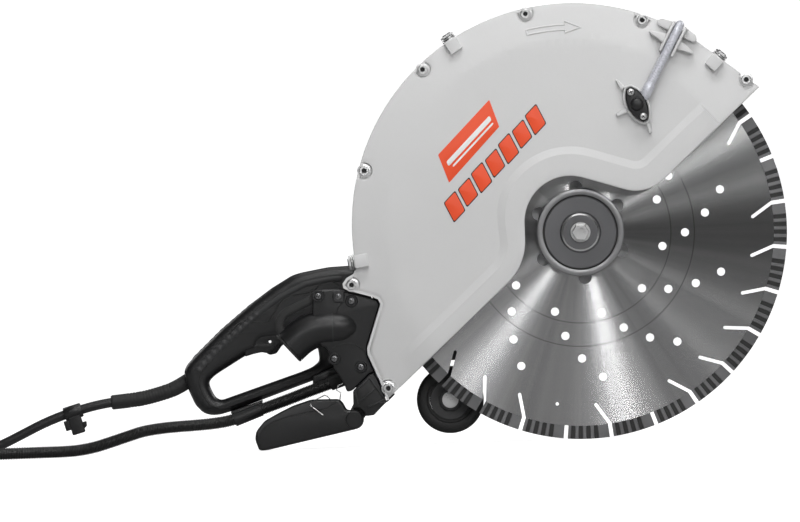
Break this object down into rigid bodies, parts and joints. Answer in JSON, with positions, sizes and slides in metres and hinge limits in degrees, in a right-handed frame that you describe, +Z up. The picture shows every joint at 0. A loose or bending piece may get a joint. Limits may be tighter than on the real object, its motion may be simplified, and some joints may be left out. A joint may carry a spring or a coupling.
{
  "type": "masonry saw",
  "caption": "Hand-held electric masonry saw: large diamond blade under a half guard with water feed, rear D handle and front bow handle, rear flap, guide roller, cable and hose.",
  "frame": {"origin": "on the floor, under the middle of the box around the saw without its cable and hose", "axes": "+X towards the blade, +Y away from the blade cover towards the motor side, +Z up"},
  "size_m": [0.986, 0.243, 0.428],
  "materials": {
    "guard_light": "satin light grey paint",
    "guard_rear": "satin grey paint",
    "cast_alloy": "cast, fine grain",
    "blade_steel": "ground with radial sheen",
    "diamond": "dull sintered metal",
    "steel": "turned",
    "dark_steel": "black oxide",
    "zinc": "zinc plated",
    "orange_panel": "flat print",
    "black_plastic": "fine texture",
    "black_rubber": "matt",
    "tyre": "matt",
    "cable": "matt",
    "copper": "wound wire",
    "brass": "turned",
    "blue_plastic": "moulded",
    "orange_plastic": "moulded",
    "clear_tube": "smooth pale tube",
    "carbon": "sintered"
  },
  "bodies": {
    "saw_body": {"rear_guard": "guard_rear", "front_guard": "guard_light", "cover_screws": "zinc", "rim_bolts": "zinc", "label_panels": "orange_panel", "spindle_bearings": "steel", "gear_case": "cast_alloy", "gear_case_cover": "cast_alloy", "case_screws": "dark_steel", "armature_bearings": "steel", "stator": "dark_steel", "motor_housing": "black_plastic", "carbon_brushes": "carbon", "brush_caps": "black_plastic", "handle_near_half": "black_plastic", "handle_far_half": "black_plastic", "small_screws": "zinc", "switch_body": "black_plastic", "bow_handle": "dark_steel", "bow_grip": "black_rubber", "bow_feet": "cast_alloy", "dust_housing": "black_plastic", "dust_elbow": "black_rubber", "cap_strap": "black_rubber", "corner_block": "black_plastic", "flap_pin": "steel", "roller_bracket": "dark_steel", "roller_axle": "steel", "water_valve": "brass", "water_tube": "clear_tube", "water_brackets": "zinc", "nozzle_block": "black_plastic", "strain_relief": "black_rubber", "cable_tube": "cable", "cable_coil": "cable", "power_plug": "black_rubber", "cable_clip": "black_rubber", "hose_tube": "black_rubber", "hose_coupling": "brass"},
    "blade_set": {"blade_core": "blade_steel", "blade_segments": "diamond", "inner_flange": "dark_steel", "outer_flange": "dark_steel", "arbor_bolt": "steel", "spindle": "steel", "bevel_gear": "dark_steel"},
    "rotor": {"armature_shaft": "steel", "armature": "copper", "fan": "black_plastic"},
    "lock_button": {"lock_button": "steel"},
    "trigger": {"trigger": "black_plastic"},
    "lock_off_button": {"lock_off_button": "orange_plastic"},
    "dust_cap": {"dust_cap": "black_rubber"},
    "rear_flap": {"flap": "black_plastic", "flap_spring": "zinc"},
    "guide_roller": {"roller_tyre": "tyre", "roller_hub": "black_plastic"},
    "valve_lever": {"valve_lever": "blue_plastic"}
  },
  "joints": [
    {"name": "blade_spin", "type": "hinge", "parent": "saw_body", "child": "blade_set", "pos_m": [0.096, -0.047, 0.203], "axis": [0, 1, 0], "continuous": true},
    {"name": "rotor_spin", "type": "hinge", "parent": "saw_body", "child": "rotor", "pos_m": [0.096, 0.025, 0.203], "axis": [-0.9659, 0, -0.2588], "continuous": true},
    {"name": "lock_button_press", "type": "slide", "parent": "saw_body", "child": "lock_button", "axis": [0, 0, -1], "range_m": [0, 0.005], "stiffness_N_per_m": 400, "springref_m": -0.004},
    {"name": "trigger_pull", "type": "hinge", "parent": "saw_body", "child": "trigger", "pos_m": [-0.176, 0.025, 0.119], "axis": [0, 1, 0], "range_deg": [0, 8], "stiffness_Nm_per_rad": 2, "springref_deg": -4.58},
    {"name": "lock_off_press", "type": "slide", "parent": "saw_body", "child": "lock_off_button", "axis": [0, -1, 0], "range_m": [0, 0.003], "stiffness_N_per_m": 300, "springref_m": -0.003},
    {"name": "dust_cap_pull", "type": "slide", "parent": "saw_body", "child": "dust_cap", "axis": [-0.7547, 0, -0.6561], "range_m": [0, 0.02]},
    {"name": "flap_swing", "type": "hinge", "parent": "saw_body", "child": "rear_flap", "pos_m": [-0.1324, -0.05, 0.0275], "axis": [0, 1, 0], "range_deg": [0, 15], "stiffness_Nm_per_rad": 0.2, "springref_deg": -20.05},
    {"name": "roller_spin", "type": "hinge", "parent": "saw_body", "child": "guide_roller", "pos_m": [-0.0374, -0.013, 0.0432], "axis": [0, 1, 0], "continuous": true},
    {"name": "valve_turn", "type": "hinge", "parent": "saw_body", "child": "valve_lever", "pos_m": [-0.0695, -0.007, 0.096], "axis": [0, -1, 0], "range_deg": [0, 90]}
  ],
  "couplings": [
    {"joint": "rotor_spin", "follows": "blade_spin", "ratio": 4.1}
  ]
}
